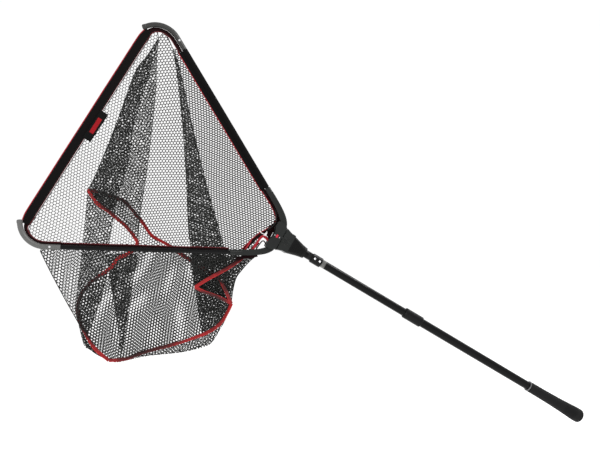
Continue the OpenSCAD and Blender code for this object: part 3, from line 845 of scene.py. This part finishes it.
def bag(trims):
    """The bag's panels, from the front to the back; each fold is a panel of its own."""
    front = closed(STRAP_NET, TOP_CURVE, FOLD_MIDDLE, SEAM_B_LOWER, EDGE_LEFT[::-1], LEFT_CURVE)
    wall = {"node": "net_front_wall"}
    net_panel("net_front", front, angle=25, bow=0.15, squeeze=0.82, billow=5, seed=1, thick=0.7, **wall)
    net_panel("net_front_fold", closed(FOLD_MIDDLE, SEAM_B_UPPER[::-1], FOLD_LEFT[::-1]), angle=12,
              billow=2, seed=2, **wall)
    tuck = closed(FOLD_TUCK, until(SEAM_B_UPPER, FOLD_TUCK[-1])[::-1], FOLD_LEFT[::-1])
    net_layers("net_front_tuck", tuck, [("", -30, 0, 3), ("_inner", 35, 4, 20)], **wall)
    wall = {"node": "net_upper_wall"}
    upper = closed(FOLD_LEFT, SEAM_A, FOLD_RIGHT[::-1], TOP_INNER[::-1])
    net_panel("net_upper", upper, angle=2, bow=0.12, squeeze=0.82, billow=6, seed=4, **wall)
    fold = closed(FOLD_RIGHT, SEAM_C_LOWER, FOLD_NEAR[::-1])
    net_layers("net_upper_fold", fold, [("", 40, 2, 5), ("_inner", -15, 5, 19)], **wall)
    net_panel("net_upper_side", closed(FOLD_NEAR, SEAM_C_UPPER, ARM_INNER[::-1]), angle=-88, bow=0.1,
              squeeze=0.62, billow=4, seed=6, thick=1.2, **wall)
    wall = {"node": "net_lower_wall"}
    lower = closed(LOWER_LINE, EDGE_RIGHT, SEAM_BOTTOM[::-1], EDGE_LEFT[::-1])
    net_panel("net_lower", lower, angle=-40, squeeze=0.88, billow=-10, seed=7, **wall)
    to_hub = smooth_line([SEAM_C_UPPER[-1], EDGE_RIGHT[0]])
    net_panel("net_lower_fold", closed(EDGE_RIGHT, SEAM_C_LOWER, SEAM_C_UPPER, to_hub), angle=20,
              billow=2, seed=8, **wall)
    under_arm = smooth_line([EDGE_RIGHT[0], hang((-260, 60, 12)), FOLD_LOW[0]])
    right_low = closed(FOLD_LOW, since(SEAM_BOTTOM, FOLD_LOW[-1]), EDGE_RIGHT[::-1], under_arm)
    net_layers("net_lower_pleat", right_low, [("", 50, 3, 16), ("_inner", 20, 6, 22), ("_back", -5, 9, 17)],
               squeeze=0.85, **wall)
    base = closed(SEAM_A, SEAM_BOTTOM[::-1], SEAM_B_LOWER[::-1], SEAM_B_UPPER[::-1])
    net_panel("net_base_panel", base, angle=22, squeeze=0.8, billow=8, seed=9, thick=1.2, trims=trims)
    tuck = closed(TUCK_LEFT, TUCK_RIGHT, until(SEAM_A, TUCK_RIGHT[-1])[::-1])
    net_layers("net_base", tuck, [("_fold", 70, 2, 10), ("_tuck", 10, 9, 11)])
    net_layers("net_pleat", PLEAT, [("", 80, 1, 12), ("_inner", 30, 3, 21), ("_back", -15, 5, 13)])
    sag = closed(since(SEAM_B_LOWER, SAG[0]), SEAM_BOTTOM, SAG[::-1])
    net_layers("net_sag", sag, [("", 15, 1, 14), ("_inner", 45, 4, 18), ("_back", 75, 7, 15)], squeeze=0.85)


# ---- piping on the bag's seams
TAPE = (5.2 * MM, 1.9 * MM)  # half its width and half its thickness
TAPE_FORWARD = 6.5 * MM  # in front of the netting, as its bead is
BEAD_FORWARD = 7.3 * MM
BEAD_R = 1.5 * MM
BEAD_ACROSS = 3.6 * MM  # from the tape's middle


def piping(name, line, seed, turns, reds):
    """Binding tape along a seam. turns is how often it rolls over to and fro along the seam, and reds is its
    share of red at even steps along it."""
    run = np.linspace(0, 1, len(line))
    share = np.interp(run, np.linspace(0, 1, len(reds)), reds)
    phase = np.random.default_rng(PIPING_SEED + seed).uniform(0, 6.3)
    twist = 0.5 * np.sin(turns * 2 * math.pi * run + phase)
    tape = oval(*TAPE, sides=10)
    bead = [(a + BEAD_ACROSS, b) for a, b in round_cord(BEAD_R)]
    verts, faces = join_parts([sweep(line - SIDE * TAPE_FORWARD, tape, -SIDE, twist=twist),
                               sweep(line - SIDE * BEAD_FORWARD, bead, -SIDE, twist=twist)])
    dark_edges = [1.0 - 0.25 * (k % 5 == 0) for k in range(len(tape))]
    red = np.concatenate([np.repeat(share, len(tape)) * np.tile(dark_edges, len(line)),
                          np.repeat(np.clip(share + 0.25, 0, 1), len(bead))])
    obj = make_mesh(name, verts, faces, MATS["piping"], values={"red": red})
    bend_with_arm(obj)
    return obj


def seams():
    """The taped seams of the base. Where a seam is seen edge on only its dark tape shows."""
    rows = (  # name, line, seed, turns, reds
        ("a", SEAM_A, 1, 1.5, [0.35, 0.4, 0.35, 0.45, 0.85, 0.9, 0.6, 0.5, 0.5, 0.45, 0.5, 0.7]),
        ("b_upper", SEAM_B_UPPER, 2, 1.5, [0.9, 0.85, 0.5, 0.7, 0.8, 0.75]),
        ("b_lower", SEAM_B_LOWER, 3, 1.5, [0.7, 0.9, 0.95, 0.8, 0.3, 0.1, 0.08, 0.1, 0.2, 0.6, 0.75, 0.6]),
        ("bottom", SEAM_BOTTOM, 4, 1.5, [0.7, 0.3, 0.15, 0.3, 0.6, 0.8, 0.6, 0.7, 0.95]),
        ("c_lower", SEAM_C_LOWER, 5, 0.5, [0.9, 0.5, 0.4, 0.5, 0.85]),
        ("c_upper", SEAM_C_UPPER, 6, 0.5, [0.85, 0.75, 0.6, 0.45, 0.3, 0.25]))
    return [piping("piping_" + name, *row) for name, *row in rows]


# ---- strap, tag, sleeves and hems
WOBBLE = 0.5 * MM  # how far cloth is out of line
STRAP_HALF = 13.0  # half its width and half its thickness
STRAP_FLAT = 1.3
STRAP_CORDS = (("piping", 13.3, 1.5, "cord"), ("edge", -13.0, 1.0, "cord_dark"))  # place and radius
STITCH_R = 0.28
STITCH_ROWS = (10.4, -10.4)
SLEEVE_ENDS = (3, 461)  # along the arms
HEM_ENDS = (2, 484)
HEM_THICK = 1.8
BESIDE = 0.6  # from a hem's edge to its bead's middle
INSIDE_MOUTH = (-460, 0, 300)  # a point that the beads of the hems are turned to


def strip_section(points, thick):
    """A closed section: an open line of (a, b) points given a thickness."""
    p = np.asarray(points, float)
    t = np.gradient(p, axis=0)
    t /= lengths(t)[:, None]
    n = np.stack([-t[:, 1], t[:, 0]], 1) * thick / 2
    start, end = p[0] - t[0] * thick / 3, p[-1] + t[-1] * thick / 3
    return [tuple(q) for q in np.vstack([p + n, end, (p - n)[::-1], start])]


def laid(name, line, section, key, up, seed):
    """A piece as from swept, its points moved a little as cloth is never quite straight."""
    verts, faces = sweep(line, section, up)
    rng = np.random.default_rng(CLOTH_SEED + seed)
    for _ in range(3):
        wave = rng.uniform(15, 60, 3)
        phase = rng.uniform(0, 6.3)
        push = rng.normal(size=3)
        verts = verts + WOBBLE / 3 * np.outer(np.sin(verts @ wave + phase), push / np.linalg.norm(push))
    return make_mesh(name, verts, faces, MATS[key])


def flat_tape(width, thick):
    """Section of a flat tape with soft edges, its width across."""
    return oval(width / 2, thick / 2, 20, 0.35)


def gather_with_arm(obj):
    """A piece of the front strap, its transform baked into its mesh."""
    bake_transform(obj)


def strap_half(half, side):
    """The front strap from its middle to its knotted end, with its cords and stitches."""
    line = smooth_line([local(-753, 0, side * -2), local(-753.3, 0.3, side * 90),
                        local(-753, -0.2, side * 190), local(-753, 0, side * 270),
                        local(-752, 0, side * 302), local(-749.5, 0, side * 320)], 5 * MM)
    # the last 8 per cent narrow by a quarter, to the knot
    scale = 1 - 0.25 * np.clip((np.linspace(0, 1, len(line)) - 0.92) / 0.08, 0, 1) ** 2
    section = oval(STRAP_HALF * MM, STRAP_FLAT * MM, 24, 0.3)
    body = swept(f"front_strap_{half}", line, section, "strap", scale=scale)
    outward = np.cross(tangents(line), -SIDE * np.ones_like(line))
    outward *= np.sign(outward @ -ALONG)[:, None]

    def beside(offset, forward):
        return line + outward * (offset * MM * scale)[:, None] - SIDE * forward * MM

    trims = [swept(f"front_strap_{name}_{half}", beside(offset, 0.3), round_cord(radius * MM), key)
             for name, offset, radius, key in STRAP_CORDS]
    stitches = []
    for offset in STITCH_ROWS:
        row = beside(offset, 1.35)
        for k in range(1, len(line) - 1, 2):
            a, b = row[k], row[k] * 0.45 + row[k + 1] * 0.55
            stitch = np.array([a, (a + b) / 2 - SIDE * 0.2 * MM, b])
            stitches.append(sweep(stitch, round_cord(STITCH_R * MM), -SIDE))
    verts, faces = join_parts(stitches)
    trims.append(make_mesh(f"front_strap_stitches_{half}", verts, faces, MATS["thread"]))
    for piece in [body] + trims:
        gather_with_arm(piece)
    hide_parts("front_strap")


def strap():
    """The front strap, and the tag sewn into its edge."""
    strap_half("upper", 1)
    strap_half("lower", -1)
    line = smooth_line([local(-731, -4.0, 52), local(-731.4, -4.4, 8), local(-732.4, -4.0, -39)])
    tag = swept("strap_tag_cloth", line, oval(11.8 * MM, 0.9 * MM, 16, 0.25), "tag", "woven_tag")
    line = smooth_line([local(-732, -5.2, 31), local(-732, -5.5, 8), local(-732, -5.3, -17)])
    patch = swept("strap_tag_patch", line, oval(6.0 * MM, 0.35 * MM, 12, 0.3), "tag_red", "woven_tag")
    for piece in (tag, patch):
        gather_with_arm(piece)
    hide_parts("strap_tag")


def upper_sleeve():
    """A sleeve of cloth folded round the upper arm and sewn into a flap along its inner side."""
    r = ARM_R + 0.95
    lap = 0.75
    turn0 = math.asin(lap / r)
    ring = [(r * math.sin(a), -r * math.cos(a)) for a in np.linspace(turn0, 2 * math.pi - turn0, 26)]
    flap = [(lap, -19.5), (lap, -16), (lap, -12), (lap, -9.2)]
    outline = flap + ring + [(-y, out) for y, out in flap[::-1]]
    section = [(MM * a, MM * b) for a, b in strip_section(outline, 0.9)]
    run = np.linspace(*SLEEVE_ENDS, 116)
    line = np.array([on_arm(s, 0) for s in run])
    sleeve = laid("arm_sleeve_cloth", line, section, "sleeve", on_arm(0, 1) - on_arm(0, 0), seed=1)
    line = np.array([on_arm(s, -20.4, 0.4 * math.sin(s / 40)) for s in run])
    bead = swept("arm_sleeve_piping", line, round_cord(1.25 * MM), "cord")
    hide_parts("upper_arm_sleeve")
    for piece in (sleeve, bead):
        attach(piece, "arm_upper")


def lower_hem():
    """The hem behind the lower arm, with its red edge just above the tube."""
    run = np.linspace(*HEM_ENDS, 110)
    line = np.array([on_arm(s, -4.5, 8.9, -1) for s in run])
    hem = laid("lower_hem_cloth", line, flat_tape(14 * MM, 2 * MM), "hem", -SIDE, seed=2)
    line = np.array([on_arm(s, -12.2 - 0.3 * math.sin(s / 35), 8.2, -1) for s in run])
    bead = swept("lower_hem_piping", line, round_cord(1.5 * MM), "cord_dark")
    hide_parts("lower_arm_hem")
    for piece in (hem, bead):
        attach(piece, "arm_lower")


def hem_run(name, line, width, half, red=None, key="hem", widths=None, rides=False):
    """A stretch of hem tape, with a bead of the material red on its inner side.

    It rides on its half's arm, or has its transform baked into its mesh."""
    widths = np.full(len(line), float(width)) if widths is None else widths
    pieces = [swept(name, line, flat_tape(width * MM, HEM_THICK * MM), key, scale=widths / width)]
    if red:
        inner = np.cross(tangents(line), SIDE)
        inner *= np.sign(((hang(INSIDE_MOUTH) - line) * inner).sum(1))[:, None]
        beside = inner * (widths / 2 + BESIDE)[:, None] * MM
        pieces.append(swept(name + "_piping", line + beside - SIDE * 0.4 * MM, round_cord(1.3 * MM), red))
    for piece in pieces:
        if rides:
            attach(piece, HALVES[half][0])
        else:
            bend_with_arm(piece)
    return pieces


def elbow_hems():
    """The net's hem where it rounds the two elbows, inside them: wide at the strap, and narrow past it."""
    for name, half, inward, flat, across in (("top", "upper", 12.4, 13, [16, 17, 16, 13, 10.4, 10]),
                                             ("left", "lower", 10.4, 10, [15, 14, 11, 8, 6.6, 6])):
        side = HALVES[half][1]
        line = smooth_line([local(-749, 3.6, side * 296), local(-749.5, 3.6, side * 312),
                            on_elbow(1.25, inward + 1.6, 3.6, side), on_elbow(1.05, inward + 0.6, 3.3, side)]
                           + [on_elbow(t, inward, 2.8, side) for t in (0.85, 0.65, 0.45, 0.25, 0.05)]
                           + [on_arm(484, -inward, 2.2, side), on_arm(462, -inward - 0.4, 1.6, side)])
        widths = np.interp(np.linspace(0, 1, len(line)), [0, 0.12, 0.2, 0.3, 0.42, 1], across)
        hem_run(f"{name}_elbow_hem", line, 10, half, "cord_dark", widths=widths, rides=True)


BAND_WIDTH = 11
# The hem's ends by the hub: a band inside the upper socket, one past the lower, and the loops that end it,
# each with its width, half, material and line.
HUB_HEMS = (
    ("band", BAND_WIDTH, "upper", "hem", smooth_line([on_arm(10, -14, 1.6), *hang([
        (-156, 4, 202), (-143, 4, 183), (-131, 4, 164), (-121, 5, 144), (-115, 8, 127), (-115, 11, 114),
        (-121, 12, 104), (-132, 12, 95), (-144, 10, 86)])])),
    ("low_band", 10, "lower", "hem", hung_line(
        (-143, 9, 87), (-151, 8, 82), (-162, 6, 76), (-180, 4, 63), (-202, 5, 42), (-216, 6, 28))),
    ("gather", 14, "upper", "hem", hung_line(
        (-108, 14, 124), (-115, 15, 110), (-126, 15, 94), (-137, 15, 77), (-146, 14, 60))),
    ("loop", 7, "lower", "cord", hung_line(
        (-195, 2, 22), (-188, -2, 33), (-178, -3, 48), (-168, -4, 63), (-160, -4, 69), (-152, -4, 65),
        (-145, -3, 57), (-143, -1, 50))),
    ("fold", 3.5, "lower", "hem", hung_line(
        (-186, -1, 22), (-178, -5, 34), (-170, -6, 46), (-162, -6, 55), (-156, -6, 54), (-152, -5, 46))),
    ("pull", 2.2, "upper", "cord_pale", hung_line(
        (-171, -4, 87), (-166, -6, 80), (-160, -6, 76), (-153, -6, 77), (-148, -5, 83))),
    ("tie", 1.6, "upper", "cord_pale", hung_line(
        (-156, -8, 76), (-151, -10, 71), (-147, -11, 66), step=2 * MM)),
    ("edge", 4.5, "lower", "cord", hung_line(
        (-212, 2, 30), (-205, 0, 39), (-199, -1, 49), (-194, -1, 57), step=2 * MM)),
    ("tail", 9, "lower", "hem", hung_line(
        (-236, 9, 2), (-222, 9, 6), (-206, 8, 9), (-190, 8, 11), (-174, 8, 14))),
)


def hub_hems():
    """The ends of the hem by the hub, with the band."""
    pieces = []
    for name, width, half, key, line in HUB_HEMS:
        bead = "cord" if name.endswith("band") else None
        pieces += hem_run("hub_hem_" + name, line, width, half, bead, key)


# ---- stage, lights and camera
FLOOR_Z = -0.30
FLOOR_HALF = 60.0
FLOOR_GLOW = 0.12  # the floor is a dim light table
SKY_LIGHT = 1.02
CAMERA_OFFSET = Vector((-0.478, -1.977, -0.003))
TARGET_OFFSET = Vector((-0.049, 0.0, 0.103))
LENS = 41.33


def camera():
    data = bpy.data.cameras.new("camera")
    data.lens = LENS
    data.sensor_width = 36
    data.clip_end = 200
    cam = place("camera", data)
    flip = Vector(FLIP)
    cam.location = flip + CAMERA_OFFSET
    direction = flip + TARGET_OFFSET - cam.location
    cam.rotation_euler = direction.to_track_quat("-Z", "Y").to_euler()
    bpy.context.scene.camera = cam


def floor():
    n = Nodes("pale_floor", (0.93, 0.93, 0.93), 0.9, specular=0.1)
    tone = n.noise(0.8, 2.0)
    n.set("Base Color", n.mix(tone, (0.925, 0.925, 0.92), (0.94, 0.94, 0.94)))
    n.set("Emission Color", (1, 1, 1, 1))
    n.set("Emission Strength", FLOOR_GLOW)
    mesh = bpy.data.meshes.new("floor")
    corners = [(-1, -1), (1, -1), (1, 1), (-1, 1)]
    mesh.from_pydata([(x * FLOOR_HALF, y * FLOOR_HALF, FLOOR_Z) for x, y in corners], [], [(0, 1, 2, 3)])
    mesh.materials.append(n.mat)
    place("floor", mesh)


def light(name, at, aim, width, height, power):
    data = bpy.data.lights.new(name, "AREA")
    data.shape = "RECTANGLE"
    data.size, data.size_y = width, height
    data.energy = power
    obj = place(name, data)
    obj.location = at
    obj.rotation_euler = (Vector(aim) - Vector(at)).to_track_quat("-Z", "Y").to_euler()


def lights():
    world = bpy.data.worlds.new("studio")
    world.use_nodes = True
    sky = world.node_tree.nodes["Background"]
    sky.inputs["Color"].default_value = (1, 1, 1, 1)
    sky.inputs["Strength"].default_value = SKY_LIGHT
    bpy.context.scene.world = world
    middle = hang((-400, 0, 150))
    light("top_strip", (0.9, -1.1, 3.0), tuple(FLIP), 5.0, 0.14, 130)
    light("side_strip", (-3.6, -1.5, 1.6), middle, 0.14, 2.0, 30)
    bpy.context.scene.view_settings.view_transform = "Standard"


slide_spring()
bag(seams())
strap()
upper_sleeve()
lower_hem()
elbow_hems()
hub_hems()
camera()
lights()
floor()
